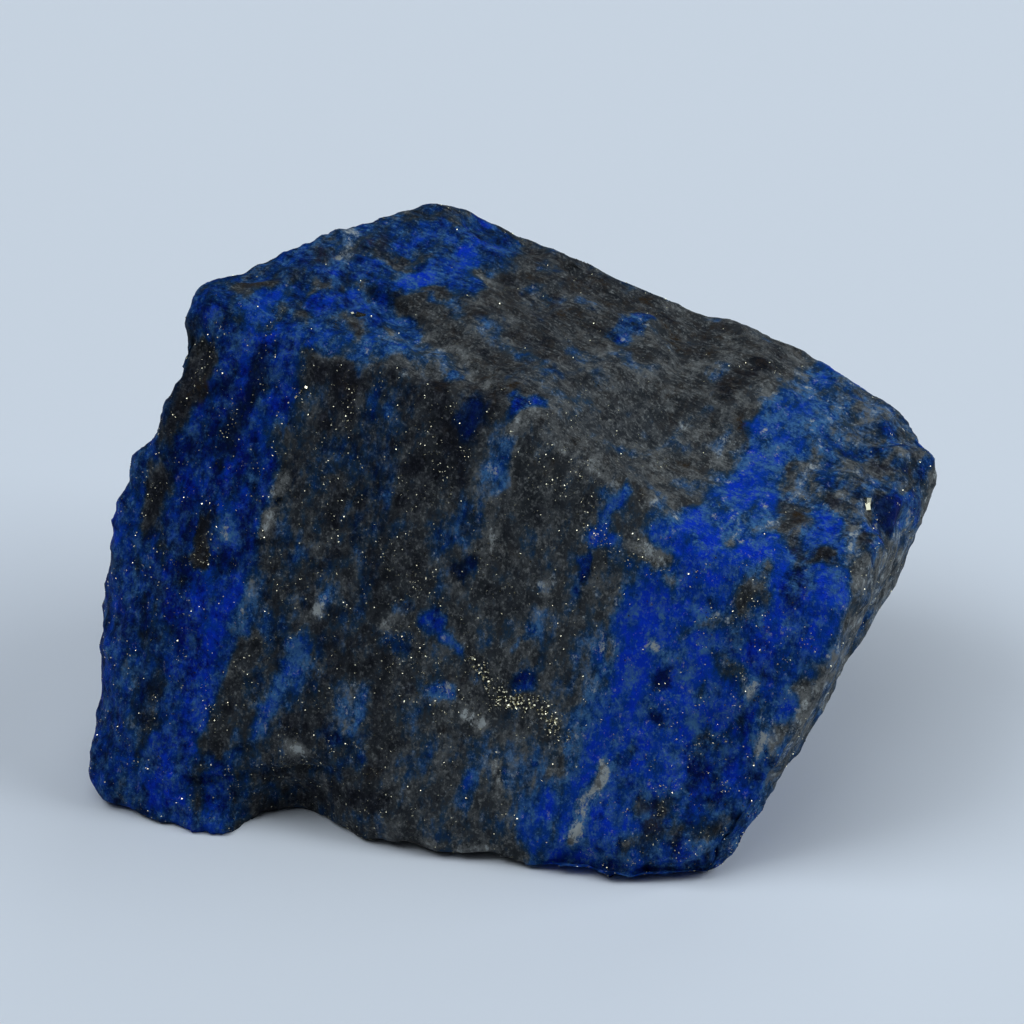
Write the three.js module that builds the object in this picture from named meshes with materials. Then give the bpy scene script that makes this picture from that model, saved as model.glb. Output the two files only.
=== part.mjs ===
// A lump of rough lapis lazuli, as broken from its vein and neither cut nor polished.
// It is one piece of rock: a wedge that stands on its sole, tall at the left end and low at the right.
// Millimetres, +Z up. The front looks towards -Y. The origin is on the ground, under the middle.
import * as THREE from "three";
import { ConvexGeometry } from "three/addons/geometries/ConvexGeometry.js";
import { ImprovedNoise } from "three/addons/math/ImprovedNoise.js";
import { mergeVertices } from "three/addons/utils/BufferGeometryUtils.js";

// ---- driving dimensions ----
const LENGTH = 76; // from end to end along X: the finished lump is scaled to this
const LONGEST_SIDE = 3; // no side of a triangle starts longer, so the smallest form is about 4 mm across
const EVENING_PASSES = 12; // slides the points apart until the triangles are of even size
const ROUNDING = 0.45; // the share by which a point gives way in one pass of wear
const WEAR_PASSES = 2; // on every edge of the lump
const SOLE_WEAR = 0.3; // ground off the sole, which leaves real flats to stand on

// Unevenness of the broken faces, from broad swells to small lumps: wavelength and height.
const swells = [
  { across: 26, height: 0.7 },
  { across: 12, height: 0.5 },
  { across: 6, height: 0.36 },
  { across: 3.6, height: 0.3 },
];
const FRONT_CALM = 0.5; // the front broke cleaner than the other faces: its share of their unevenness
const FRONT_FACING = [0, -1, 0.3];

// Ribs that the breaking crack left on the faces that look towards `facing`: they run along one direction.
const ribs = {
  top: { facing: [-0.1, -0.1, 1], along: [0.92, -0.22, -0.32], across: 4.6, length: 17, height: 0.45 },
  rightEnd: { facing: [0.85, 0.2, -0.4], along: [-0.52, -0.73, -0.44], across: 4, length: 22, height: 0.6 },
  leftEnd: { facing: [-0.8, 0.6, 0], along: [0.1, 0.2, 1], across: 5, length: 18, height: 0.6 },
};
const CHIP_SPACING = 7; // mean distance between the small flat chips
const CHIP_TILT = 0.09; // steepest slope of a chip against its face
const CHIP_SEED = 7; // the same chips on every run
const LEDGE_RISE = 0.6; // half the width over which a ledge drops

// The corners of the block, where its fracture planes meet.
const corners = {
  // the far rim of the top, from the left end to the right
  nubBack: [-26.9, 3, 44.5],
  rimLeft: [-14.6, 11, 45],
  peak: [-5.2, 19.6, 43],
  rimMiddle: [17.5, 14.2, 31.8],
  rimRight: [29, 14.8, 29.2],
  rimEnd: [36, 9.8, 26.3],
  tip: [39, 4, 25.5],
  // the crest between the top and the front
  nub: [-28.1, 0, 44.4],
  crest: [1.2, -9.3, 39.1],
  crestEnd: [29.6, -17.4, 27.6],
  // the left edge of the front, downwards
  shoulder: [-32.6, -3.4, 29.8],
  leftHigh: [-36.7, -5.2, 22.6],
  leftLow: [-37, -8.8, 12.3],
  bendHigh: [-31, -9, 24],
  bendLow: [-31.5, -13.4, 12],
  leftFoot: [-38.5, -13.4, 1.3],
  // the lower edge of the front
  footEdge: [-36.4, -16, 0],
  heelLeft: [-32.2, -17.7, 0],
  heel: [-26.6, -19.4, 0],
  toe: [9.5, -26.2, 0],
  toeMiddle: [13.4, -26.4, 0],
  toeEnd: [17, -26.6, 0.2],
  // the right edge of the front, downwards
  flankTop: [28.1, -19.4, 22],
  flankMiddle: [25, -21.5, 15.3],
  flankLow: [22.1, -23.8, 8.4],
  // the undercut right end, from the tip down to the toe
  underTip: [38.3, 3, 22.9],
  underHigh: [37.6, 2, 19.5],
  underMiddle: [34.6, -2, 15.7],
  underLow: [29.5, -8, 10.3],
  underFoot: [24, -14, 4.6],
  underToe: [18.1, -24.6, 2.6],
  // the back
  backHigh: [4, 25, 22],
  backLeft: [-13, 22, 24],
  backRight: [24, 19.5, 13],
  backLow: [-2, 23.5, 5],
  // the sole
  soleLeft: [-34, 3, 2],
  soleBackLeft: [-20, 16.5, 0],
  soleBack: [4, 20.5, 0],
  soleBackRight: [15, 11, 0],
};

// Hollows struck out of the block: each is an ellipsoid, turned about Z by an angle in degrees.
const scoops = {
  archway: { at: [-18.9, -22.5, -2.2], radii: [7, 8, 5.9] },
  hem: { at: [-10, -26.4, -2.5], radii: [14, 9, 4] },
  toeNick: { at: [5.2, -25.6, -0.4], radii: [2.6, 3.6, 2.2] },
  soleHollow: { at: [-6, 2, -7.2], radii: [17, 12, 8.4] },
  leftHollow: { at: [-35.6, 1, 35.6], radii: [7.4, 22, 5.4], turn: -39 },
  nubNotch: { at: [-30.9, 0.6, 37.4], radii: [4.2, 10, 2.8], turn: -39 },
  leftDip: { at: [-43.2, -8, 6.6], radii: [6.4, 16, 3.8], turn: -39 },
  tipBowl: { at: [38.4, -7.6, 24.6], radii: [5.4, 5.4, 5.4] },
  crestDip: { at: [28.5, -18, 65.6], radii: [38, 48, 38] },
  crestNick: { at: [-20, -6, 51], radii: [7, 9, 7.6] },
  frontFlute: { at: [-22, -21.5, 27], radii: [5, 8, 13] },
  frontHollow: { at: [17.6, -38, 15], radii: [11, 17.6, 14] },
  backFacet: { at: [-30, 26, 27], radii: [16, 16, 21] },
  backFlake: { at: [11, 34, 10], radii: [12, 12, 11] },
};

// Places where the edges are worn rounder than elsewhere.
const wornSpots = {
  crestRight: { at: [23, -15.5, 29], reach: 10, passes: 8 },
  frontLeft: { at: [-30, -12, 16], reach: 17, passes: 14 },
};

// Small steps in a face. A ledge's edge runs from one point to the other. On the side that `towards`
// points to, the face drops by `depth` and comes back up to its level within `reach`.
const ledges = {
  topLedge: { from: [-12.6, 3.6, 43.2], to: [-3.4, -6, 40.4], towards: [1, 0.9, 0], depth: 0.9, reach: 8 },
  footLedge: { from: [-28.4, -18, 5.2], to: [-16.4, -19, 6], towards: [0, 0, -1], depth: 0.9, reach: 5 },
  leftEndLedge: { from: [-34, -3, 20], to: [-17, 17, 25], towards: [0, 0, -1], depth: 1.2, reach: 9 },
  leftEndStep: { from: [-33, 0, 11], to: [-24, 11, 9], towards: [0, 0, -1], depth: 0.9, reach: 6 },
  backLedge: { from: [-9, 23, 13], to: [13, 22, 17], towards: [0, 0, -1], depth: 1.3, reach: 8 },
  backStep: { from: [-3, 21, 35], to: [9, 20, 32], towards: [0, 0, -1], depth: 0.9, reach: 6 },
  footStep: { from: [-27.6, -17.6, 8.4], to: [-23.6, -18, 8.9], towards: [0, 0, -1], depth: 0.5, reach: 3 },
};

const TOUCHING = 1e-3; // points and planes nearer than this are the same
const FULLY_TURNED = 32; // degrees: up to this a surface counts as turned to a direction,
const TURNED_AWAY = 53; // and beyond this it doesn't
const { degToRad, lerp, smoothstep } = THREE.MathUtils;
const vector = (place) => new THREE.Vector3(...place);

// ---- the skin of the block, in triangles of even size ----

// The hull of the corners: its points, its triangles as trios of point numbers, and their planes.
function hullOf(points) {
  const hull = new ConvexGeometry(points);
  hull.deleteAttribute("normal");
  const merged = mergeVertices(hull, TOUCHING);
  const spots = merged.attributes.position;
  const skin = [];
  for (let i = 0; i < spots.count; i++) skin.push(new THREE.Vector3().fromBufferAttribute(spots, i));
  const faces = [];
  for (let i = 0; i < merged.index.count; i += 3)
    faces.push([0, 1, 2].map((k) => merged.index.getX(i + k)));
  const planes = faces.map((face) => {
    const [a, b, c] = face.map((i) => skin[i]);
    return new THREE.Plane().setFromCoplanarPoints(a, b, c);
  });
  return { skin, faces, planes };
}

// Cuts one triangle through the middle points of its sides. A side without one is left whole.
function cutFace([a, b, c], [ab, bc, ca], skin) {
  const cuts = [ab, bc, ca].filter((m) => m !== undefined).length;
  if (cuts === 0) return [[a, b, c]];
  if (cuts === 3) return [[a, ab, ca], [ab, b, bc], [ca, bc, c], [ab, bc, ca]];
  const turned = () => cutFace([b, c, a], [bc, ca, ab], skin);
  if (cuts === 1) return ab === undefined ? turned() : [[a, ab, c], [ab, b, c]];
  if (ca !== undefined) return turned();
  const short = skin[a].distanceTo(skin[bc]) < skin[ab].distanceTo(skin[c]);
  return [[ab, b, bc], ...(short ? [[a, ab, bc], [a, bc, c]] : [[a, ab, c], [ab, bc, c]])];
}

// Halves every side longer than the limit, in both triangles that share it, until none is left.
function cutLongSides(skin, faces, longest) {
  for (;;) {
    const middles = new Map();
    const middleOf = (a, b) => {
      if (skin[a].distanceTo(skin[b]) <= longest) return undefined;
      const side = [a, b].sort().join();
      if (!middles.has(side)) middles.set(side, skin.push(skin[a].clone().lerp(skin[b], 0.5)) - 1);
      return middles.get(side);
    };
    faces = faces.flatMap((face) => {
      const [a, b, c] = face;
      return cutFace(face, [middleOf(a, b), middleOf(b, c), middleOf(c, a)], skin);
    });
    if (!middles.size) return faces;
  }
}

function neighboursOf(skin, faces) {
  const neighbours = skin.map(() => new Set());
  for (const [a, b, c] of faces) {
    neighbours[a].add(b).add(c);
    neighbours[b].add(c).add(a);
    neighbours[c].add(a).add(b);
  }
  return neighbours.map((set) => [...set]);
}

function meanOf(points) {
  return points.reduce((sum, p) => sum.add(p), new THREE.Vector3()).divideScalar(points.length);
}

// Evens out the triangles: a point slides in its plane, one on an edge slides along it, and a corner stays.
function evenOut(skin, faces, planes, passes) {
  const neighbours = neighboursOf(skin, faces);
  const planesAt = skin.map((p) => planes.filter((plane) => Math.abs(plane.distanceToPoint(p)) < TOUCHING));
  const guides = skin.map((_, i) =>
    neighbours[i].filter((j) => planesAt[i].every((plane) => planesAt[j].includes(plane))),
  );
  for (let pass = 0; pass < passes; pass++)
    skin.forEach((p, i) => {
      const isCorner = planesAt[i].length > 2 || guides[i].length < 2;
      if (!isCorner) p.copy(meanOf(guides[i].map((j) => skin[j])));
    });
}

function normalsOf(skin, faces) {
  const normals = skin.map(() => new THREE.Vector3());
  const face = new THREE.Triangle();
  const normal = new THREE.Vector3();
  for (const [a, b, c] of faces) {
    face.set(skin[a], skin[b], skin[c]).getNormal(normal).multiplyScalar(face.getArea());
    for (const i of [a, b, c]) normals[i].add(normal);
  }
  return normals.map((n) => n.normalize());
}

// ---- the relief ----

// Wears edges and corners round, all over or only within reach of one spot.
function wear(skin, faces, passes, { at = [0, 0, 0], reach = Infinity } = {}) {
  const neighbours = neighboursOf(skin, faces);
  const spot = vector(at);
  const amounts = skin.map((p) => ROUNDING * (1 - smoothstep(p.distanceTo(spot), reach / 2, reach)));
  for (let pass = 0; pass < passes; pass++) {
    const before = skin.map((p) => p.clone());
    skin.forEach((p, i) => {
      if (amounts[i] > 0) p.lerp(meanOf(neighbours[i].map((j) => before[j])), amounts[i]);
    });
  }
}

// Pushes every point that lies inside the hollow's ellipsoid out to its wall.
function scoop(skin, { at, radii, turn = 0 }) {
  const up = vector([0, 0, 1]);
  const angle = degToRad(turn);
  for (const p of skin) {
    const offset = p.clone().sub(vector(at)).applyAxisAngle(up, -angle).divide(vector(radii));
    if (offset.length() >= 1) continue;
    p.copy(offset.normalize().multiply(vector(radii)).applyAxisAngle(up, angle).add(vector(at)));
  }
}

// Lowers the face beyond the ledge's edge.
function step(skin, normals, { from, to, towards, depth, reach }) {
  const along = vector(to).sub(vector(from));
  const length = along.length();
  along.normalize();
  const down = vector(towards);
  down.addScaledVector(along, -down.dot(along)).normalize();
  const fade = reach / 3;
  skin.forEach((p, i) => {
    const offset = p.clone().sub(vector(from));
    const u = offset.dot(along);
    const v = offset.dot(down);
    const off = offset.addScaledVector(along, -u).addScaledVector(down, -v).length();
    if (off > reach || v > reach) return;
    const ends = smoothstep(u, -fade, fade) * (1 - smoothstep(u, length - fade, length + fade));
    const profile = smoothstep(v, -LEDGE_RISE, LEDGE_RISE) * (1 - Math.max(v, 0) / reach);
    p.addScaledVector(normals[i], -depth * ends * profile);
  });
}

// Small flat chips all over the block: each tilts the face a little about its own middle.
function chipsIn(box, spacing, tilt, seed) {
  const random = () => {
    seed = (seed * 1664525 + 1013904223) % 2 ** 32;
    return seed / 2 ** 32;
  };
  const { x, y, z } = box.getSize(new THREE.Vector3());
  const chips = [];
  while (chips.length < (x * y * z) / spacing ** 3) {
    const middle = vector([x * random(), y * random(), z * random()]).add(box.min);
    const slope = vector([random() - 0.5, random() - 0.5, random() - 0.5]).setLength(tilt);
    chips.push({ middle, slope });
  }
  return chips;
}

function chipHeight(p, chips) {
  const away = ({ middle }) => middle.distanceToSquared(p);
  const nearest = chips.reduce((a, b) => (away(a) < away(b) ? a : b));
  return p.clone().sub(nearest.middle).dot(nearest.slope);
}

const noise = new ImprovedNoise();
function swellHeight(p) {
  return swells.reduce((sum, { across, height }, i) => {
    const q = p.clone().addScalar(LENGTH * (i + 1)).divideScalar(across); // a place of its own in the noise
    return sum + height * noise.noise(q.x, q.y, q.z);
  }, 0);
}

// 1 where the surface looks in a direction, falling to 0 where it has turned away from it.
function turnedTo(normal, facing) {
  const turn = normal.angleTo(vector(facing));
  return 1 - smoothstep(turn, degToRad(FULLY_TURNED), degToRad(TURNED_AWAY));
}

function ribHeight(p, normal, { facing, along, across, length, height }) {
  const share = turnedTo(normal, facing);
  if (share === 0) return 0;
  const direction = vector(along).normalize();
  const onward = p.dot(direction);
  const q = p.clone().addScaledVector(direction, -onward).divideScalar(across);
  q.addScaledVector(direction, onward / length);
  return share * height * noise.noise(q.x, q.y, q.z);
}

function roughen(skin, faces) {
  const normals = normalsOf(skin, faces);
  const chips = chipsIn(new THREE.Box3().setFromPoints(skin), CHIP_SPACING, CHIP_TILT, CHIP_SEED);
  const heights = skin.map((p, i) => {
    const calm = lerp(1, FRONT_CALM, turnedTo(normals[i], FRONT_FACING));
    const ribbing = Object.values(ribs).reduce((sum, rib) => sum + ribHeight(p, normals[i], rib), 0);
    return (swellHeight(p) + chipHeight(p, chips)) * calm + ribbing;
  });
  skin.forEach((p, i) => p.addScaledVector(normals[i], heights[i]));
}

// ---- the lump ----

function lumpGeometry() {
  const hull = hullOf(Object.values(corners).map(vector));
  const { skin } = hull;
  const faces = cutLongSides(skin, hull.faces, LONGEST_SIDE);
  evenOut(skin, faces, hull.planes, EVENING_PASSES);
  for (const hollow of Object.values(scoops)) scoop(skin, hollow);
  wear(skin, faces, WEAR_PASSES);
  for (const spot of Object.values(wornSpots)) wear(skin, faces, spot.passes, spot);
  const normals = normalsOf(skin, faces);
  for (const ledge of Object.values(ledges)) step(skin, normals, ledge);
  roughen(skin, faces);
  for (const p of skin) p.z = Math.max(p.z - SOLE_WEAR, 0);

  const geometry = new THREE.BufferGeometry().setFromPoints(skin);
  geometry.setIndex(faces.flat());
  geometry.computeBoundingBox();
  const { min, max } = geometry.boundingBox;
  geometry.translate(-(min.x + max.x) / 2, -(min.y + max.y) / 2, -min.z);
  const scale = LENGTH / (max.x - min.x);
  geometry.scale(scale, scale, scale);
  geometry.computeVertexNormals();
  return geometry;
}

const stone = new THREE.Mesh(
  lumpGeometry(),
  new THREE.MeshStandardMaterial({ color: "#16265c", roughness: 0.7, metalness: 0 }),
);
stone.name = "rough_lapis_lazuli";

const group = new THREE.Group();
group.add(stone);
export default group;
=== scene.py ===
# %% [markdown]
# # A lump of rough lapis lazuli
#
# Lapis lazuli is a rock, not a single mineral. Blue lazurite lies in uneven layers in a grey-black
# host rock, with white calcite between them and tiny crystals of brassy pyrite all through. This
# lump was broken from its vein and never cut or polished, so every face is a fracture: slightly
# hollow, ribbed and dull, with low ledges and small pits.
#
# The CAD model already has the block with its main ledges and hollows. Here it becomes a skin fine
# enough to show how the rock broke, and gets its minerals.

# %% The frame
import math

import bpy
import numpy as np
from mathutils import Euler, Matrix, Quaternion, Vector, noise
from mathutils.bvhtree import BVHTree


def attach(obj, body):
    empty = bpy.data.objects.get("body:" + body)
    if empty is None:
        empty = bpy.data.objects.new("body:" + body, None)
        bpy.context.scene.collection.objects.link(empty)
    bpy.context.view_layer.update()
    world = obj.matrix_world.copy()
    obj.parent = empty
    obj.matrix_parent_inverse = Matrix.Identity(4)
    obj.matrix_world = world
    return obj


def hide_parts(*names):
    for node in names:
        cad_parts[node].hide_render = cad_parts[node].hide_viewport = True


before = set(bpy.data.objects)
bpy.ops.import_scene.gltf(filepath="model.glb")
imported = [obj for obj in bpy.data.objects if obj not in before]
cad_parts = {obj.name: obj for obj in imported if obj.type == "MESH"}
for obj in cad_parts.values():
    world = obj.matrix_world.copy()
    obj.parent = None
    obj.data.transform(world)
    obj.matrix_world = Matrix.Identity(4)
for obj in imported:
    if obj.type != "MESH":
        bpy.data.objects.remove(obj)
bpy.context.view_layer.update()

MM = 0.001  # the script works in metres, and sizes are said in millimetres


# %% [markdown]
# ## The camera
#
# The camera comes first, because features that are known by where they appear in the picture are
# placed by looking through it. It stands 35 degrees above the ground, far off with a long lens, as
# for a product shot: the nearer the camera, the more the front of the lump would swell.

# %% Camera
PICTURE = 1024  # pixels along each side of the picture
SENSOR = 36 * MM
LENS = 156.25 * MM
NEAREST_SEEN = 10 * MM
FARTHEST_SEEN = 10  # metres
CAMERA_ELEVATION = 35  # degrees above the ground
CAMERA_DISTANCE = 397.2 * MM
CAMERA_TARGET = Vector((-0.28, 0.82, 21.85)) * MM

elevation = math.radians(CAMERA_ELEVATION)
look = Vector((0, math.cos(elevation), -math.sin(elevation)))
picture_up = Vector((0, math.sin(elevation), math.cos(elevation)))
picture_right = Vector((1, 0, 0))
eye = CAMERA_TARGET - look * CAMERA_DISTANCE
bpy.ops.object.camera_add(location=eye, rotation=(math.radians(90 - CAMERA_ELEVATION), 0, 0))
camera = bpy.context.object
camera.name = "camera"
camera.data.sensor_width = SENSOR / MM
camera.data.lens = LENS / MM
camera.data.clip_start = NEAREST_SEEN
camera.data.clip_end = FARTHEST_SEEN
bpy.context.scene.camera = camera
pixel = SENSOR / LENS / PICTURE  # the width of a pixel, a metre in front of the lens
pixel_on_lump = pixel * CAMERA_DISTANCE / MM
print("camera at", [round(v / MM, 1) for v in eye], "mm")
print("a pixel on the lump is", round(pixel_on_lump, 3), "mm wide")

# %% [markdown]
# ## The skin
#
# The CAD node stays as it is, and a copy of its mesh becomes the skin. Its triangles are loose, so
# they are merged at their corners first. A voxel remesh then gives an even net with a mesh width of
# 0.39 mm, about four pixels, and a few smoothing passes take away the flat triangles of the block.

# %% Skin
SKIN_MESH_WIDTH = 0.39 * MM
SMOOTHING = 0.5
SMOOTHING_PASSES = 5
MERGE_DISTANCE = 0.001 * MM


def select_only(piece):
    bpy.ops.object.select_all(action="DESELECT")
    piece.select_set(True)
    bpy.context.view_layer.objects.active = piece


def apply_modifier(piece, kind, **settings):
    modifier = piece.modifiers.new(kind.title(), kind)
    for name, value in settings.items():
        setattr(modifier, name, value)
    select_only(piece)
    bpy.ops.object.modifier_apply(modifier=modifier.name)


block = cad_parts["rough_lapis_lazuli"]
stone = bpy.data.objects.new("lapis_stone", block.data.copy())
bpy.context.collection.objects.link(stone)
select_only(stone)
bpy.ops.object.mode_set(mode="EDIT")
bpy.ops.mesh.select_all(action="SELECT")
bpy.ops.mesh.remove_doubles(threshold=MERGE_DISTANCE)
bpy.ops.object.mode_set(mode="OBJECT")
apply_modifier(stone, "REMESH", mode="VOXEL", voxel_size=SKIN_MESH_WIDTH)
apply_modifier(stone, "SMOOTH", factor=SMOOTHING, iterations=SMOOTHING_PASSES)
print("skin:", len(stone.data.vertices), "points,", len(stone.data.polygons), "faces")

# %% Points and normals of a piece, in millimetres


def points_of(piece):
    flat = np.empty(len(piece.data.vertices) * 3, np.float32)
    piece.data.vertices.foreach_get("co", flat)
    return flat.reshape(-1, 3).astype(float) / MM


def normals_of(piece):
    flat = np.empty(len(piece.data.vertices) * 3, np.float32)
    piece.data.vertex_normals.foreach_get("vector", flat)
    return flat.reshape(-1, 3).astype(float)


def set_points(piece, points):
    piece.data.vertices.foreach_set("co", (points * MM).astype(np.float32).ravel())
    piece.data.update()


def unit(direction):
    return np.array(direction) / np.linalg.norm(direction)


def smooth_step(value, low, high):
    """0 below `low`, 1 above `high`, and a smooth rise between them."""
    t = np.clip((value - low) / (high - low), 0, 1)
    return t * t * (3 - 2 * t)


points = points_of(stone)
normals = normals_of(stone)
print("the skin is", (points.max(axis=0) - points.min(axis=0)).round(1), "mm")

# %% [markdown]
# ## Seeing from a pixel to the rock
#
# A ray through a pixel meets the skin at one point. A mark is a chain of such spots, each with a
# radius, as a brush would leave it. It is measured in space and not on the picture, so that it lies
# on the rock wherever the camera stands.

# %% Pixels to places
STEP_INWARDS = 2  # pixels
MOST_STEPS = 12
TINY = 1e-9  # keeps a chain of one spot from dividing by zero
skin_tree = BVHTree.FromObject(stone, bpy.context.evaluated_depsgraph_get())


def on_stone(x, y):
    """The place on the skin behind a pixel, and its normal. Just off the edge it steps inwards."""
    middle = PICTURE / 2
    for _ in range(MOST_STEPS):
        right = picture_right * ((x - middle) * pixel)
        up = picture_up * ((middle - y) * pixel)
        hit, normal, _, _ = skin_tree.ray_cast(eye, (look + right + up).normalized())
        if hit is not None:
            return np.array(hit) / MM, np.array(normal)
        steps_away = math.hypot(middle - x, middle - y) / STEP_INWARDS
        x += (middle - x) / steps_away
        y += (middle - y) / steps_away
    raise ValueError(f"no rock near pixel {x:.0f}, {y:.0f}")


def distance_to(mark, places):
    """How far each place is outside a chain of spots (x, y, radius), in mm. Inside it is below 0."""
    spots = [(on_stone(x, y)[0], radius * pixel_on_lump) for x, y, radius in mark]
    nearest = np.full(len(places), np.inf)
    for (start, start_radius), (end, end_radius) in zip(spots, spots[1:] or spots):
        along = end - start
        share = np.clip((places - start) @ along / max(along @ along, TINY), 0, 1)
        away = np.linalg.norm(places - start - share[:, None] * along, axis=1)
        nearest = np.minimum(nearest, away - start_radius - share * (end_radius - start_radius))
    return nearest


FRONT_MIDDLE = (450, 600)
print("the middle of the front is at", on_stone(*FRONT_MIDDLE)[0].round(1), "mm")

# %% [markdown]
# ## How the rock broke
#
# A fracture is made of many shallow scars with low ridges between them. Where the crack ran fast,
# the scars are drawn out into ribs that show which way it went. The scars here are the cells of a
# noise: the square of the distance to the nearest cell centre is a hollow with a crisp edge all
# round. The cells are stretched for ribs, and each face gets its own share of them.

# %% Noise for the relief
SEED_SHIFT = 7.3  # each seed reads the noise in another place
STREAK_LENGTH = 2.5  # a streak is this much longer than it is wide
UP = (0, 0, 1)


def turned_to(facing, near=32, far=53):
    """1 where the skin looks in a direction, down to 0 where it has turned away, in degrees."""
    turn = np.degrees(np.arccos(np.clip(normals @ unit(facing), -1, 1)))
    return 1 - smooth_step(turn, near, far)


def drawn_out(places, along, size, length):
    """Places in units of a cell that is `size` wide and `length` long in one direction."""
    onward = (places @ unit(along))[:, None] * unit(along)
    return (places - onward) / size + onward / length


def waves(places, seed):
    """Soft noise from -1 to 1."""
    return np.array([noise.noise(p) for p in (places + seed * SEED_SHIFT).tolist()])


def scars(places, seed):
    """Hollows with a crisp edge: 0 in the middle of a cell, up to about 1 on its edge."""
    cells = (places + seed * SEED_SHIFT).tolist()
    return np.array([noise.voronoi(p, distance_metric="DISTANCE_SQUARED")[0][0] for p in cells])


def wandering(places, size, reach, seed):
    """Each place moved a little, so that what is drawn from it gets uneven, streaky edges."""
    streaks = drawn_out(places, UP, size, size * STREAK_LENGTH)
    return places + reach * np.stack([waves(streaks, seed + i) for i in range(3)], axis=1)


sample = scars(points[:1000], 1)
print("scars run from", round(float(sample.min()), 2), "to", round(float(sample.max()), 2))

# %% The faces
TOP = (-0.1, -0.1, 1)
FRONT = (0, -1, 0.3)
RIGHT_END = (0.85, 0.2, -0.4)
LEFT_END = (-0.8, 0.6, 0)
TOP_RIBS = (0.92, -0.22, -0.32)  # the way the ribs run on each face
RIGHT_END_RIBS = (-0.52, -0.73, -0.44)
LEFT_END_RIBS = (0.1, 0.2, 1)

on_top = turned_to(TOP)
on_front = turned_to(FRONT)
on_right_end = turned_to(RIGHT_END, 45, 66)  # this end is the most curved
on_left_end = turned_to(LEFT_END)

to_the_left = smooth_step(-points[:, 0], 5, 22)  # mm from the middle
to_the_right = smooth_step(points[:, 0], 6, 16)
calm = 1 - 0.4 * on_front  # the front broke the most evenly
rough = 0.55 + 0.6 * to_the_left + 0.35 * on_front * to_the_right  # the left end is the roughest
print("share of the skin that looks up:", round(float(on_top.mean()), 2))

# %% Relief
SCAR_LEVEL = 0.3  # taken off the scars, so that they leave the lump as thick as it is
LEFT_END_LEVEL = 0.4
top_ribs = scars(drawn_out(points, TOP_RIBS, 1.2, 6), 5) - SCAR_LEVEL
left_end_ribs = scars(drawn_out(points, LEFT_END_RIBS, 1.3, 7), 7) - LEFT_END_LEVEL
right_end_ribs = waves(drawn_out(points, RIGHT_END_RIBS, 0.8, 14), 6)
relief_parts = {  # height in mm, and the pattern, whose places are divided by its size in mm
    "broad_waves": (0.25, waves(points / 4.5, 1) * calm),
    "scars": (0.5, (scars(points / 4.2, 2) - SCAR_LEVEL) * calm * rough),
    "small_scars": (0.45, (scars(wandering(points, 3, 1, 8) / 1.9, 3) - SCAR_LEVEL) * rough),
    "grain": (0.12, waves(points / 0.9, 4) * rough),
    "front_grain": (0.3, (scars(wandering(points, 1.5, 0.5, 9), 9) - SCAR_LEVEL) * on_front * rough),
    "top_ribs": (0.35, top_ribs * on_top),
    "top_waves": (0.25, waves(points / 3, 12) * on_top),
    "right_end_ribs": (0.16, right_end_ribs * on_right_end),
    "left_end_ribs": (0.14, left_end_ribs * on_left_end),
}
relief = sum(height * pattern for height, pattern in relief_parts.values())
print("relief from", round(relief.min(), 2), "to", round(relief.max(), 2), "mm")

# %% [markdown]
# ## Ledges, cracks and pits
#
# These are single events, each with a place of its own. A ledge lowers the rock on the right of its
# line, a crack is a narrow groove, and a pit is a crack of one spot.

# %% Ledges
LEDGE_FACE = 0.5  # mm: the width of the slope from the upper rock to the lower
LEDGE_END = (-0.6, 0.2)  # mm: a ledge starts just before its line does, and is soon at its full depth
ledges = {  # depth and reach in mm, and the line in pixels: to the right of the line it is lower
    "foot": (0.55, 4, [(200, 776), (226, 752), (250, 742)]),
    "foot_right": (0.5, 4, [(253, 774), (299, 768), (332, 770)]),
    "top_left": (0.4, 5, [(372, 286), (420, 318), (452, 347), (492, 388)]),
    "left_middle": (0.3, 3, [(226, 562), (264, 569)]),
    "right_foot": (0.35, 3, [(598, 790), (572, 830)]),
}


def ledge_height(depth, reach, line):
    """The rock is lowest beside the line, and climbs back over the reach."""
    spots = [on_stone(x, y) for x, y in line]
    height = np.zeros(len(points))
    for (start, outward), (end, _) in zip(spots, spots[1:]):
        length = np.linalg.norm(end - start)
        along = (end - start) / length
        offset = points - start
        onward = offset @ along
        aside = offset @ unit(np.cross(along, outward))
        near = np.abs(offset @ outward) < reach
        ends = smooth_step(onward, *LEDGE_END) * smooth_step(length - onward, *LEDGE_END)
        profile = smooth_step(aside, -LEDGE_FACE / 2, LEDGE_FACE / 2) * (1 - np.clip(aside / reach, 0, 1))
        height = np.minimum(height, -depth * ends * profile * near)
    return height


for depth, reach, line in ledges.values():
    relief += ledge_height(depth, reach, line)
print(len(ledges), "ledges")

# %% Cracks and pits
CRACK_EDGE = (-0.1, 0.35)  # mm: the slope of a crack, from inside its mark to outside it
cracks = {  # depth in mm, and the spots with their radii in pixels
    "foot": (0.45, [(192, 781, 2), (224, 783, 3), (253, 774, 3), (299, 769, 2), (328, 770, 2)]),
    "left_pit": (0.6, [(277, 502, 3)]),
    "left_pit_tail": (0.35, [(275, 514, 2), (273, 528, 2)]),
    "right_hollow": (0.3, [(858, 540, 2), (857, 552, 3)]),
}
for depth, spots in cracks.values():
    relief -= depth * (1 - smooth_step(distance_to(spots, points), *CRACK_EDGE))
print(len(cracks), "cracks and pits")

# %% [markdown]
# ## The outline
#
# The edge of a broken lump is never straight: here the rock stands out by half a millimetre, there
# it is set back by one. Each swell is a chain of spots along the edge, and fades out around it.

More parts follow.
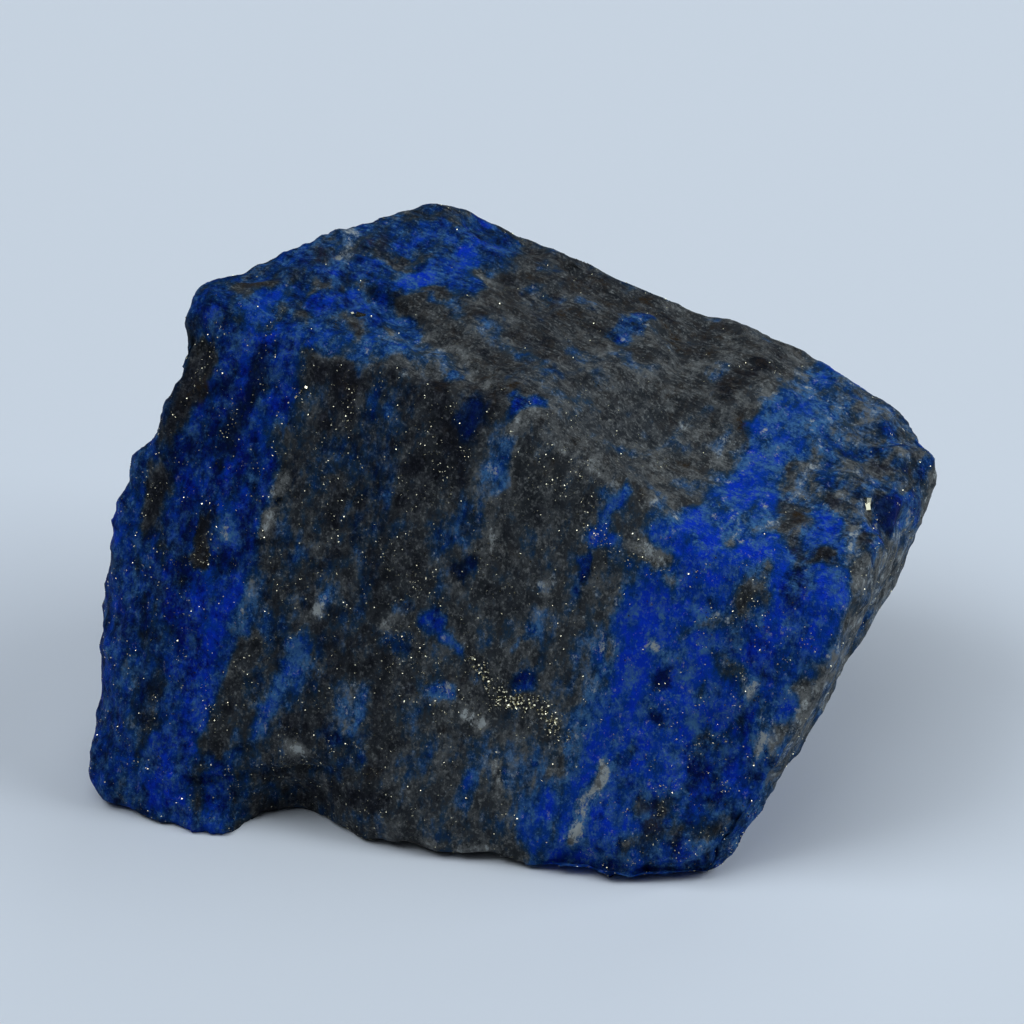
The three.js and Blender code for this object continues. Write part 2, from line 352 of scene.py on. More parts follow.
# %% Swells along the edge
SWELL_EDGE = 2.2  # mm
swells = {  # height in mm, and the spots with their radii in pixels: below 0 the rock is set back
    "left_shoulder": (0.4, [(192, 292, 6), (190, 312, 6)]),
    "left_neck": (-0.7, [(190, 345, 6), (181, 368, 5)]),
    "left_side": (0.6, [(176, 392, 7), (168, 417, 6), (157, 440, 8), (138, 462, 8)]),
    "left_waist": (0.4, [(120, 513, 8), (114, 567, 8)]),
    "left_low": (-0.4, [(110, 623, 8)]),
    "left_lower": (-0.9, [(102, 717, 10)]),
    "left_corner": (-0.3, [(132, 806, 8)]),
    "top_left": (-0.7, [(228, 275, 6), (256, 268, 8), (280, 257, 3)]),
    "top_rim": (-0.9, [(489, 228, 12), (506, 234, 8), (530, 241, 4)]),
    "top_rim_middle": (
        -0.8,
        [(588, 269, 10), (606, 278, 14), (630, 288, 14), (650, 294, 12), (700, 314, 10)],
    ),
    "top_rim_right": (0.4, [(752, 334, 8), (777, 343, 7)]),
    "top_right": (0.4, [(830, 370, 6), (852, 386, 7)]),
    "right_corner": (-0.9, [(927, 479, 8)]),
    "right_side": (0.35, [(908, 540, 8), (902, 566, 7)]),
    "right_foot": (-1.3, [(770, 794, 10), (754, 818, 9), (738, 842, 9)]),
    "front_foot": (-1.2, [(562, 868, 5), (584, 868, 8), (604, 873, 6)]),
    "front_tooth": (-0.7, [(630, 881, 5)]),
    "front_corner": (-1.1, [(660, 882, 7), (698, 878, 9), (722, 866, 8)]),
    "front_middle": (-0.5, [(500, 866, 7), (528, 872, 7)]),
    "front_left": (-0.6, [(384, 845, 4), (400, 848, 6)]),
    "left_foot": (0.5, [(198, 829, 6), (212, 829, 4)]),
}
for height, spots in swells.values():
    relief += height * (1 - smooth_step(distance_to(spots, points), 0, SWELL_EDGE))
print(len(swells), "swells")

# %% [markdown]
# ## The hollow, the crest and the foot
#
# Near the right corner a chip has left a round hollow with fine rings. The crest between the top
# and the front is a low ridge. Under the left side the foot is set back: the wall there slides down
# and back along the line of sight, and what would go below the ground is laid flat on it.

# %% Hollow and crest
HOLLOW_PIXEL = (889, 521)
HOLLOW_RADIUS = 3  # mm
HOLLOW_DEPTH = 1.2  # mm
HOLLOW_EDGE = (0.9, 1.25)  # in radii: the ringed surface fades out across the hollow's edge
CREST_HEIGHT = 0.18  # mm
CREST_EDGE = 0.5  # mm
hollow_middle, _ = on_stone(*HOLLOW_PIXEL)
from_middle = np.linalg.norm(points - hollow_middle, axis=1) / HOLLOW_RADIUS
relief -= HOLLOW_DEPTH * np.clip(1 - from_middle**2, 0, 1)
in_hollow = 1 - smooth_step(from_middle, *HOLLOW_EDGE)

crest = [(526, 414, 1), (560, 450, 2), (608, 471, 3), (642, 487, 2), (676, 518, 1)]
on_crest = 1 - smooth_step(distance_to(crest, points), 0, CREST_EDGE)
relief += CREST_HEIGHT * on_crest
points += normals * relief[:, None]
print("hollow at", hollow_middle.round(1), "mm; relief now from", round(relief.min(), 2), "mm")

# %% Foot
ARCH_MIDDLE = -19.3  # mm along the lump
ARCH_HALF_WIDTH = 8.6  # mm
ARCH_HEIGHT = 2.3  # mm
ARCH_REACH = 7  # mm: it fades out this far above the ground
ARCH_DEPTH = 9  # mm: and this far behind the front of the foot
FOOT_X = (-28, -20, -10)  # mm along the lump, and where the front of the foot is there
FOOT_Y = (-17, -17.3, -20.5)

arch = ARCH_HEIGHT * (1 - smooth_step(np.abs(points[:, 0] - ARCH_MIDDLE), 0, ARCH_HALF_WIDTH))
arch *= 1 - smooth_step(points[:, 2] - arch, 0, ARCH_REACH)
behind = points[:, 1] - np.interp(points[:, 0], FOOT_X, FOOT_Y)
points[:, 1] += arch / math.tan(elevation) * (1 - smooth_step(behind, 0, ARCH_DEPTH))
points[:, 2] = np.maximum(points[:, 2] - arch, 0)
set_points(stone, points)
select_only(stone)
bpy.ops.object.shade_smooth()
print("the foot is set back by up to", round(float(arch.max() / math.tan(elevation)), 1), "mm")

# %% [markdown]
# ## The layers
#
# The minerals lie in layers that cross the whole lump, from front to back, so that the same bands
# show on every side. `across` says how far through the layers a place is. It is nearly a plane's
# distance, but the layers turn a little from one end to the other. A table then says how much
# lazurite, pale calcite and dark grains each layer has: two blue bands, and a grey one between them
# with blue seams. A share may be below 0: it then keeps that mineral away where noise comes on top.

# %% Table of the layers
layers = [  # how far across in mm, and the shares of lazurite, calcite and dark grains
    (-40, 0.6, 0, 0.3),
    (-31, 0.7, 0, 0.5),
    (-26, 0.78, -0.1, 0.5),
    (-23.6, 0.72, -0.2, 0.6),
    (-22.4, 0.5, -0.3, 0.7),
    (-21.2, 0.56, -0.3, 0.6),
    (-20.2, 0.76, -0.3, 0.6),
    (-17.5, 0.86, -0.3, 0.5),
    (-15.4, 0.8, -0.2, 0.5),
    (-14, 0.42, 0, 0.4),
    (-12, 0.32, 0, 0.4),
    (-10.5, 0.4, -0.1, 0.5),
    (-9, 0.28, -0.1, 0.5),
    (-6.5, 0.38, -0.1, 0.5),
    (-4, 0.24, -0.1, 0.4),
    (-1.2, 0.26, 0, 0.3),
    (0.2, 0.4, 0.1, 0.1),
    (2, 0.24, 0.1, 0.1),
    (7, 0.22, 0.1, 0),
    (8.4, 0.32, 0.1, 0),
    (11, 0.28, 0.2, -0.1),
    (12.3, 0.4, 0.3, -0.3),
    (13.4, 0.78, 0.1, -0.3),
    (15.4, 0.88, 0.1, -0.3),
    (17.2, 0.84, 0.2, -0.1),
    (19, 0.74, 0.2, 0.2),
    (21, 0.78, 0.2, 0.2),
    (23, 0.72, 0.2, 0.25),
    (25.5, 0.78, 0.2, 0.2),
    (28.5, 0.74, 0.2, 0.25),
    (31, 0.64, 0.2, 0.2),
    (40, 0.64, 0.2, 0.2),
]
print(len(layers), "layers")

# %% Shares of the minerals
SLANT_BACK = 0.51  # the layers lean by this much, in mm for each mm
SLANT_UP = 0.08
TURN_UP = 0.008  # and by this much more for each mm along the lump
TURN_BACK = 0.0042
WANDERS = ((5, 1.2, 11), (1.6, 0.7, 14), (0.9, 0.4, 15))  # size and reach in mm, and the seed
TOP_SHIFT = 5.5  # mm: on the left of the top the layers lie this much farther to the right
TOP_SHIFT_GROWS = (-8, 4)  # mm to the left of the middle


def across_layers(places):
    """How far through the layers a place is, in mm."""
    x, y, z = places.T
    return x - SLANT_BACK * y - SLANT_UP * z - TURN_UP * x * z + TURN_BACK * x * y


brushed = points  # places from which the layers are drawn with uneven edges
for size, reach, seed in WANDERS:
    brushed = wandering(brushed, size, reach, seed)
on_left_of_top = on_top * smooth_step(-points[:, 0], *TOP_SHIFT_GROWS)
across = across_layers(brushed) - TOP_SHIFT * on_left_of_top
distances, *shares = zip(*layers)
lazurite, calcite, dark = (np.interp(across, distances, share) for share in shares)
print("share of lazurite in the layers:", round(float(lazurite.mean()), 2))

# %% What changes inside a layer
in_left_blue = smooth_step(-across, 13, 17)  # mm across the layers, from the grey into the blue
in_right_blue = smooth_step(across, 15, 20)
in_right_dark = smooth_step(across, 17, 23)
in_right_blotches = smooth_step(across, 15, 19)
BLOTCH_SIZE = 1.3  # mm
SEAM_SIZE = 3  # mm
SEAM_LEVEL = (-0.1, 0.4)  # of the noise, from no seam to a full one
SEAM_LAZURITE = 0.5  # blue seams bring the grey rock nearly up to this share

# Painted sheen: the top is made paler, hazier and freer of dark grains, as it looks lit from above
lazurite -= on_top * (0.13 + 0.2 * in_right_blue)  # painted sheen: the top is paler all over
calcite += 0.2 * on_top - 0.3 * in_left_blue  # and has a painted haze of sheen, which the blue on the left lacks
dark -= 0.2 * on_top * (1 - in_right_dark)
seams = smooth_step(waves(brushed / SEAM_SIZE, 41), *SEAM_LEVEL)
lazurite += 0.7 * seams * np.clip(SEAM_LAZURITE - lazurite, 0, 1)
blotches = in_right_blotches * waves(brushed / BLOTCH_SIZE, 44)  # where it isn't pale it is dark
calcite += 0.4 * blotches
dark -= 0.5 * blotches
print("share of lazurite with the seams:", round(float(lazurite.mean()), 2))

# %% [markdown]
# ## The grey on the right end
#
# The right end is painted grey. The grey starts at the edge of the front and thins out towards
# the ground, where the blue comes through.

# %% Film
FILM_MIX = (0.42, 0.7, -0.3)  # lazurite, calcite and dark grains
FILM_EDGE = (-0.3, 0.4)  # mm
FILM_THINS_OUT = (4, 12)  # mm above the ground
end_edge = [
    (862, 572, 14), (856, 592, 18), (850, 618, 18), (833, 655, 18),
    (812, 690, 15), (796, 720, 12), (780, 748, 8),
]
film = 1 - smooth_step(distance_to(end_edge, brushed), *FILM_EDGE)
film = np.maximum(film, on_right_end * smooth_step(brushed[:, 2], *FILM_THINS_OUT))
for field, share in zip((lazurite, calcite, dark), FILM_MIX):
    field += (share - field) * film
print("share of the skin under the film:", round(float(film.mean()), 2))

# %% [markdown]
# ## Patches in the layers
#
# The layers aren't even: the blue thickens into lobes, thins out, and is broken by grains of the
# host rock. Each patch is brushed over the layers with its own mix of the three minerals, and a
# later patch covers an earlier one. One patch, in the hollow near the right corner, is painted shade.

# %% Mixes of lazurite, calcite and dark grains
PURE = (0.98, -0.4, -0.5)
BRIGHT = (0.9, 0.2, -0.5)
BLUE = (0.88, -0.1, -0.2)
DEEP = (0.9, -0.3, 0.35)
INK = (0.84, -0.4, 0.6)
NAVY = (0.8, -0.4, 0.85)
MIDNIGHT = (0.68, -0.6, 1.5)
SHADED = (0.74, 0.1, 0.35)
MURKY = (0.62, 0.1, 0.5)
AZURE = (0.74, 0.35, -0.3)
MIST = (0.58, 0.5, -0.2)
SLATE = (0.46, 0.25, 0.15)
DUSK = (0.5, -0.2, 0.55)
DARK = (0.2, -0.3, 0.9)
ASH = (0.2, 0, 0.4)
GREY = (0.18, 0.15, 0)
PALE = (0.2, 1.1, -0.6)
CHIP = (0.54, 1.4, -0.7)
FROST = (0.85, 0.9, -0.8)
WHITE = (0.25, 1.8, -1)
MILK = (0.5, 1.8, -1)
print("pure lazurite is", PURE, "and white calcite is", WHITE)

# %% The brush
PATCH_EDGE = 0.4  # mm: how softly the smallest patch ends
PATCH_EDGE_GROWTH = 0.6  # and how much softer it is for each mm of radius
PATCH_INNER_EDGE = 0.4  # the share of the soft edge that lies inside the patch


def weight_of(spots, places, soft_edge, inner_edge):
    """1 inside a chain of spots, and down to 0 across its soft edge."""
    return 1 - smooth_step(distance_to(spots, places), -inner_edge * soft_edge, soft_edge)


def brush_minerals(patches, places):
    for mix, spots in patches.values():
        radius = spots[0][2] * pixel_on_lump
        soft_edge = PATCH_EDGE + PATCH_EDGE_GROWTH * radius
        weight = weight_of(spots, places, soft_edge, PATCH_INNER_EDGE)
        for field, share in zip((lazurite, calcite, dark), mix):
            field += (share - field) * weight
    print(len(patches), "patches; share of lazurite now", round(float(lazurite.mean()), 2))


# %% Patches on the left
left_patches = {
    "nub": (SHADED, [(200, 302, 9), (196, 328, 6)]),
    "first_band": (INK, [(212, 315, 12), (230, 335, 15), (232, 372, 15), (216, 410, 15)]),
    "first_band_low": (INK, [(205, 445, 17), (192, 490, 19), (178, 532, 13)]),
    "second_band": (DEEP, [(288, 335, 14), (285, 372, 12), (278, 400, 11)]),
    "second_band_end": (SHADED, [(284, 416, 7)]),
    "third_band": (INK, [(262, 455, 14), (250, 495, 13), (246, 535, 13), (234, 565, 13)]),
    "core": (DEEP, [(222, 590, 15), (212, 635, 18), (195, 675, 22), (185, 715, 18)]),
    "core_low": (DEEP, [(180, 752, 19), (168, 795, 17)]),
    "navy": (NAVY, [(160, 575, 12), (172, 612, 14)]),
    "far_left": (SHADED, [(132, 505, 13), (124, 560, 16), (118, 625, 15), (114, 690, 12)]),
    "far_left_foot": (SHADED, [(108, 755, 14), (130, 792, 14)]),
    "bump": (SHADED, [(146, 466, 8), (156, 448, 7)]),
    "between": (MIDNIGHT, [(264, 350, 6), (262, 376, 7), (256, 402, 8), (240, 426, 8), (226, 458, 6)]),
    "first_stripe": (DARK, [(202, 346, 6), (194, 375, 10), (184, 402, 10), (174, 428, 8)]),
    "first_stripe_low": (DARK, [(168, 470, 8), (156, 505, 8), (148, 530, 6)]),
    "vein": (DARK, [(207, 510, 4), (202, 540, 7), (192, 564, 8)]),
    "specks": (DUSK, [(166, 640, 5), (157, 655, 6), (154, 702, 6), (160, 716, 4)]),
    "foot_stripe": (DUSK, [(198, 764, 6), (192, 800, 6)]),
    "grey_cloud": (MIST, [(134, 668, 5), (128, 705, 5), (144, 738, 6)]),
    "fringe": (AZURE, [(226, 512, 5), (223, 538, 5)]),
    "fringe_low": (MIST, [(252, 574, 6), (242, 602, 8), (230, 628, 7)]),
    "pit_rim": (SLATE, [(276, 490, 6), (284, 506, 6), (272, 528, 5)]),
    "slope": (SLATE, [(262, 630, 12), (240, 690, 12), (222, 735, 14)]),
    "slope_grey": (ASH, [(252, 645, 8), (238, 680, 7), (212, 745, 7)]),
    "drop": (AZURE, [(304, 648, 14), (292, 682, 10), (270, 716, 10), (258, 738, 6)]),
    "foot": (DUSK, [(240, 790, 10), (258, 806, 8)]),
    "foot_dusk": (DUSK, [(232, 770, 8), (300, 782, 9), (325, 776, 8)]),
    "foot_ridge": (SLATE, [(226, 756, 4), (246, 765, 6), (270, 768, 4)]),
}
brush_minerals(left_patches, brushed)

# %% Patches in the middle
middle_patches = {
    "below_crest": (DARK, [(330, 362, 12), (344, 384, 14), (338, 420, 12)]),
    "below_crest_left": (SLATE, [(318, 400, 8)]),
    "blue_streak": (DUSK, [(394, 392, 8), (388, 430, 9), (378, 466, 8)]),
    "azure_streak": (MURKY, [(380, 418, 7)]),
    "dusk": (DUSK, [(360, 462, 15), (372, 492, 13)]),
    "crest_navy": (MIDNIGHT, [(472, 408, 10), (456, 428, 14), (438, 438, 8)]),
    "crest_dark": (DARK, [(430, 390, 12), (448, 470, 12), (412, 470, 12)]),
    "crest_blue": (INK, [(532, 402, 7), (512, 402, 8)]),
    "corner": (MIST, [(513, 444, 10), (500, 466, 11), (486, 490, 10)]),
    "seam": (MURKY, [(466, 508, 10), (462, 530, 8), (446, 542, 6)]),
    "seam_navy": (MIDNIGHT, [(475, 554, 5), (460, 572, 7)]),
    "spot": (MIST, [(332, 588, 10)]),
    "spot_mist": (SLATE, [(350, 557, 7)]),
    "knob": (PALE, [(384, 618, 8)]),
    "knob_blue": (MURKY, [(396, 648, 11)]),
    "knob_mist": (MURKY, [(404, 608, 8)]),
    "heart": (DEEP, [(432, 630, 11)]),
    "heart_azure": (AZURE, [(456, 650, 8)]),
    "low_spot": (MIST, [(356, 688, 10), (345, 714, 9)]),
    "low_spot_navy": (NAVY, [(330, 728, 7)]),
    "low_spot_mist": (MURKY, [(350, 752, 10)]),
    "chip_blue": (DUSK, [(424, 713, 6)]),
    "thread": (MIST, [(534, 606, 6), (530, 628, 6), (512, 646, 5)]),
    "vein_dark": (ASH, [(484, 662, 5), (506, 690, 5), (540, 722, 6)]),
    "vein_blue": (NAVY, [(524, 690, 8)]),
    "low_azure": (AZURE, [(472, 784, 10), (466, 804, 8)]),
    "low_azure_small": (MIST, [(490, 752, 5), (508, 788, 5), (524, 748, 6)]),
    "grey_flake": (PALE, [(495, 536, 6), (500, 552, 6)]),
    "high_bright": (BLUE, [(628, 492, 6), (612, 514, 8), (596, 540, 10), (620, 540, 6)]),
    "high_navy": (INK, [(582, 558, 6), (574, 588, 6)]),
    "hem_dark": (DARK, [(340, 790, 12), (384, 800, 12)]),
    "edge": (MIST, [(600, 652, 9), (586, 688, 10), (568, 724, 10), (552, 756, 9), (528, 800, 8)]),
    "edge_slate": (SLATE, [(574, 672, 8), (556, 706, 8), (540, 770, 8), (516, 812, 7)]),
}
brush_minerals(middle_patches, brushed)

# %% Patches on the right
right_patches = {
    "lobe": (PURE, [(694, 520, 12), (706, 545, 20), (698, 572, 14)]),
    "lobe_right": (BRIGHT, [(735, 498, 14), (762, 468, 12), (765, 430, 11)]),
    "lobe_far": (AZURE, [(745, 520, 12), (775, 495, 12)]),
    "core": (PURE, [(660, 602, 15), (646, 634, 15), (626, 668, 13)]),
    "core_low": (BRIGHT, [(612, 704, 20), (598, 745, 17)]),
    "foot": (BLUE, [(548, 800, 17), (534, 836, 14)]),
    "foot_azure": (AZURE, [(572, 800, 9), (560, 835, 8)]),
    "foot_blue": (BLUE, [(620, 815, 14), (610, 845, 10)]),
    "cloud": (BRIGHT, [(700, 635, 18), (686, 690, 20), (660, 765, 22)]),
    "cloud_high": (BRIGHT, [(735, 560, 12), (775, 545, 13)]),
    "bright": (BRIGHT, [(790, 560, 10), (780, 605, 15), (772, 632, 12)]),
    "bright_low": (DEEP, [(760, 655, 14), (735, 772, 14)]),
    "navy": (NAVY, [(806, 580, 12), (800, 600, 10)]),
    "navy_low": (INK, [(706, 790, 16), (690, 745, 8)]),
    "far": (BLUE, [(820, 520, 12), (835, 570, 11), (825, 615, 12), (808, 660, 10)]),
    "grain": (ASH, [(744, 588, 10), (738, 610, 6)]),
    "grain_pale": (SLATE, [(764, 585, 5), (764, 592, 4)]),
    "grains": (SLATE, [(716, 658, 7), (738, 672, 9), (750, 692, 7)]),
    "navy_middle": (NAVY, [(664, 678, 6), (672, 732, 8), (655, 718, 5)]),
    "grains_low": (MURKY, [(700, 690, 4), (694, 738, 7), (736, 716, 6)]),
    "grains_brown": (MURKY, [(630, 757, 7)]),
    "grains_foot": (DUSK, [(644, 806, 6), (672, 806, 6), (660, 828, 7)]),
    "grains_edge": (DUSK, [(628, 846, 7), (726, 830, 5)]),
    "white_cloud": (CHIP, [(772, 717, 7), (760, 744, 6)]),
    "white_flecks": (MIST, [(745, 616, 5), (686, 640, 5)]),
    "mist_low": (BRIGHT, [(716, 705, 9), (650, 752, 8)]),
    "lobe_corner": (PALE, [(648, 545, 9), (664, 555, 6)]),
    "lobe_foot": (CHIP, [(672, 576, 5)]),
    "brown": (ASH, [(790, 512, 7), (782, 526, 4), (790, 470, 2)]),
    "brown_band": (DUSK, [(770, 540, 3), (800, 546, 5), (822, 552, 7), (838, 562, 6)]),
    "brown_spot": (DARK, [(820, 553, 3), (830, 552, 3)]),
    "high": (MIST, [(800, 382, 9), (838, 400, 12), (842, 430, 13)]),
    "high_left": (AZURE, [(775, 412, 9), (768, 440, 9)]),
    "high_dusk": (MURKY, [(830, 480, 12), (858, 486, 9)]),
    "high_edge": (SHADED, [(893, 430, 6), (906, 446, 7)]),
    "high_line": (AZURE, [(862, 512, 4), (866, 530, 4)]),
    "brown_blue": (BLUE, [(815, 515, 11), (822, 535, 9)]),
    "high_brown": (ASH, [(778, 352, 10)]),
    "high_grey": (MURKY, [(828, 458, 3), (850, 446, 5), (880, 456, 6), (908, 470, 6)]),
    "rim": (SLATE, [(812, 366, 6), (850, 385, 6), (885, 404, 8), (910, 430, 6)]),
    # Painted shade: the hollow is painted near-black blue for the shade in its dent
    "hollow": (MIDNIGHT, [(884, 505, 9), (896, 519, 13), (886, 538, 9)]),
    "right_rim": (SHADED, [(930, 468, 8), (926, 495, 7), (918, 520, 6)]),
    "hollow_brown": (DARK, [(861, 540, 6), (858, 550, 5)]),
}
brush_minerals(right_patches, brushed)

# %% Patches on top
top_patches = {
    "bright_left": (DEEP, [(318, 304, 12), (356, 298, 12)]),
    "rear": (SHADED, [(405, 240, 13), (450, 232, 15), (500, 244, 11)]),
    "rear_azure": (BLUE, [(462, 254, 9)]),
    "left": (SHADED, [(330, 272, 11), (375, 262, 12)]),
    "left_azure": (BLUE, [(250, 308, 11), (280, 292, 9)]),
    "front_left": (SLATE, [(352, 322, 10), (376, 330, 9)]),
    "front_azure": (AZURE, [(330, 342, 8), (362, 352, 7), (410, 352, 9)]),
    "front_end": (MURKY, [(452, 374, 5)]),
    "rim": (DUSK, [(322, 252, 8), (346, 248, 6), (372, 241, 6)]),
    "rim_left": (ASH, [(246, 282, 7), (266, 280, 6)]),
    "dip": (ASH, [(358, 336, 6), (350, 322, 4)]),
    "dark_spot": (ASH, [(434, 296, 5), (392, 275, 4)]),
    "dots": (DUSK, [(280, 308, 5), (292, 304, 5)]),
    "ledge": (GREY, [(400, 302, 5), (428, 314, 8), (456, 342, 9), (482, 368, 7)]),
    "front": (MIST, [(402, 338, 15), (424, 350, 14), (440, 362, 8)]),
    "ledge_pale": (PALE, [(432, 330, 3), (462, 362, 4), (486, 384, 4)]),
    "bright": (PURE, [(406, 278, 12), (416, 274, 8)]),
    "cream": (PALE, [(474, 268, 6), (486, 280, 7)]),
    "grey": (GREY, [(500, 285, 14), (520, 320, 16)]),
    "azure_spots": (SLATE, [(543, 297, 9), (534, 310, 5)]),
    "azure_spots_front": (SLATE, [(480, 330, 9), (552, 372, 10)]),
    "azure_spots_right": (MURKY, [(650, 312, 10), (622, 334, 12)]),
    "brown": (ASH, [(590, 276, 7), (566, 292, 6), (715, 325, 10), (690, 345, 9)]),
    "brown_right": (DARK, [(765, 362, 8), (725, 395, 9)]),
    "crest_pale": (PALE, [(528, 412, 5), (515, 424, 6)]),
}
brush_minerals(top_patches, brushed)

# %% [markdown]
# ## Flecks and veins of calcite, and painted highlights
#
# Calcite also fills thin cracks and lies on the rock in small white flakes. They are brushed on
# last, with only the finest of the wandering, so that each keeps its own small shape. The white
# line along the crest is crushed rock with a painted highlight, and the pale arcs in the right
# hollow are painted highlights on its rings.

# %% Flecks, veins and painted highlights
flecks = {
    "foot_vein": (CHIP, [(606, 764, 4), (599, 782, 5), (588, 796, 5), (582, 808, 5)]),
    "foot_vein_low": (CHIP, [(582, 808, 5), (576, 830, 4), (569, 854, 4)]),
    "border": (CHIP, [(606, 646, 5)]),
    "foot_vein_core": (WHITE, [(603, 768, 3), (598, 784, 3)]),
    "foot_vein_middle": (FROST, [(584, 804, 3), (580, 820, 2)]),
    "foot_vein_end": (WHITE, [(575, 836, 1), (568, 851, 2)]),
    "foot_chip": (PALE, [(288, 744, 4), (302, 756, 6)]),
    "white_flake": (WHITE, [(468, 716, 4), (482, 724, 3)]),
    "spot_white": (MILK, [(318, 611, 4)]),
    "low_white": (WHITE, [(496, 766, 3), (499, 782, 2)]),
    "thread_mist": (CHIP, [(546, 588, 5)]),
    "grains_pale": (CHIP, [(748, 692, 5), (756, 686, 4)]),
    "grains_pale_high": (CHIP, [(720, 620, 5)]),
    "white_spot": (FROST, [(672, 704, 8), (660, 700, 6)]),
    "chip": (FROST, [(436, 692, 6), (446, 691, 5)]),
    "edge_bright": (BRIGHT, [(788, 702, 7), (782, 714, 6)]),
    "brown_fleck": (CHIP, [(790, 500, 4), (800, 488, 4)]),
    "high_fleck": (CHIP, [(843, 495, 5)]),
    "hollow_rim": (CHIP, [(856, 528, 4), (853, 548, 4)]),
    # Painted highlights: pale arcs on the rings of the hollow
    "hollow_arc": (MIST, [(866, 486, 2), (886, 479, 2), (902, 486, 2), (912, 500, 2)]),
    "rim_pale": (CHIP, [(352, 229, 6), (344, 257, 5)]),
    "lobe_flecks": (FROST, [(730, 516, 6), (742, 534, 6)]),
    "white_streak": (FROST, [(650, 646, 5), (664, 652, 5)]),
    "hem": (PALE, [(420, 842, 3), (450, 848, 3), (485, 850, 3)]),
    "corner_top": (PALE, [(507, 431, 2), (523, 418, 3)]),
    # Partly painted highlight: the white line along the crest is crushed rock with a painted highlight
    "crest_line": (WHITE, [(527, 416, 1), (548, 434, 1), (558, 454, 1), (582, 464, 1), (606, 475, 1)]),
    "crest_line_low": (CHIP, [(652, 502, 1), (678, 520, 1)]),
    "pit_rim_high": (PALE, [(282, 478, 5), (278, 492, 5)]),
    "pit_rim_low": (PALE, [(270, 514, 4), (262, 532, 3)]),
    "left_streak": (FROST, [(224, 516, 3), (222, 534, 3)]),
}
# The crest is pale: crushed rock along the edge, and a painted highlight of the ridge
CREST_PALE_AND_HIGHLIGHT = 0.6
frayed = wandering(points, *WANDERS[-1])
brush_minerals(flecks, frayed)
calcite = np.maximum(calcite, CREST_PALE_AND_HIGHLIGHT * on_crest)

# %% [markdown]
# ## Rust
#
# Where pyrite weathers it leaves iron rust, which stains the grey rock around it brown. It hardly
# shows on the blue, so it is kept off where there is much lazurite. The top has a little all over.

# %% Rust
SPOT_EDGE = 1.2  # mm
SPOT_INNER_EDGE = 0.5
RUST_SIZE = 2.6  # mm, of the patches that are all over the grey rock
RUST_LEVEL = (0.3, 0.7)  # of the noise, from no patch to a full one
PATCHY_RUST, TOP_RUST, FILM_RUST = 0.4, 0.3, 0.2
GREY_TO_BLUE = (0.25, 0.45)  # from the first to the second share of lazurite, the patches end
RUST_FREE = (0.5, 0.75)  # and here the spots end too
rust_spots = {  # how much, and the spots with their radii in pixels
    "first_stripe": (0.6, [(206, 372, 6), (196, 392, 7)]),
    "vein": (0.45, [(203, 545, 4), (193, 566, 4)]),
    "rim": (0.5, [(372, 240, 7), (340, 253, 5), (250, 283, 6)]),
    "dip": (0.6, [(360, 322, 5)]),
    "crest": (0.9, [(666, 469, 4)]),
    "band_edge": (0.8, [(749, 424, 4), (742, 440, 3)]),
    "lobe_edge": (0.5, [(690, 494, 7), (682, 506, 5)]),
    "right": (0.8, [(792, 516, 9), (776, 500, 5)]),
    "right_low": (0.6, [(822, 551, 6), (770, 541, 3)]),
    "tip": (0.7, [(914, 470, 4), (908, 468, 3)]),
    "sliver": (0.15, [(870, 590, 10), (846, 640, 9), (820, 685, 8)]),
    "foot": (0.5, [(264, 812, 4), (280, 814, 4)]),
    "right_foot": (0.5, [(662, 830, 7), (646, 806, 5)]),
    "top": (0.5, [(592, 272, 7), (566, 292, 6), (720, 330, 9)]),
}


def brush(field, share, spots):
    field += (share - field) * weight_of(spots, brushed, SPOT_EDGE, SPOT_INNER_EDGE)


patchy = smooth_step(waves(brushed / RUST_SIZE, 31), *RUST_LEVEL)
rust = PATCHY_RUST * patchy + TOP_RUST * on_top + FILM_RUST * film
rust *= 1 - smooth_step(lazurite, *GREY_TO_BLUE)
for share, spots in rust_spots.values():
    brush(rust, share, spots)
rust *= 1 - smooth_step(lazurite, *RUST_FREE)
print(len(rust_spots), "rusty spots; share of rust all over:", round(float(rust.mean()), 2))

# %% The fields go onto the skin
fields = {
    "lazurite": lazurite,
    "calcite": calcite,
    "dark": dark,
    "rust": rust,
    "top_ribs": on_top,
    "end_ribs": on_right_end,
    "rings": in_hollow,
}
for name, values in fields.items():
    field = stone.data.attributes.new(name, "FLOAT", "POINT")
    field.data.foreach_set("value", np.asarray(values, np.float32))
print("fields on the skin:", ", ".join(fields))

# %% [markdown]
# ## The rock's material
#
# Lapis lazuli is dull where it is broken: the fracture is a rough, grainy face of many small
# crystals, so it scatters the light and gives hardly any sheen. The blue is deepest where lazurite
# is pure, and turns teal and grey where other minerals are mixed in. The fields give the broad
# shares of the minerals, and noises drawn out along the layers break them up into streaks and
# grains. The material is put together as the rock is: colour by its share of lazurite, then a haze
# of calcite, then dark grains, then rust. The haze and the dark grains also follow the bump: raised
# grains, ribs and rings are painted lighter and the small hollows darker, as painted light and shade
# of the relief, and the finest pale specks are partly painted glints.

# %% Material helpers


def linear(hex_colour):
    """An sRGB hex value such as 1A2B3C as the linear colour that a shader takes."""
    srgb = [int(hex_colour[i : i + 2], 16) / 255 for i in (0, 2, 4)]
    return [v / 12.92 if v <= 0.04045 else ((v + 0.055) / 1.055) ** 2.4 for v in srgb] + [1]


def new_material(name):
    material = bpy.data.materials.new(name)
    material.use_nodes = True
    return material, material.node_tree.nodes["Principled BSDF"]


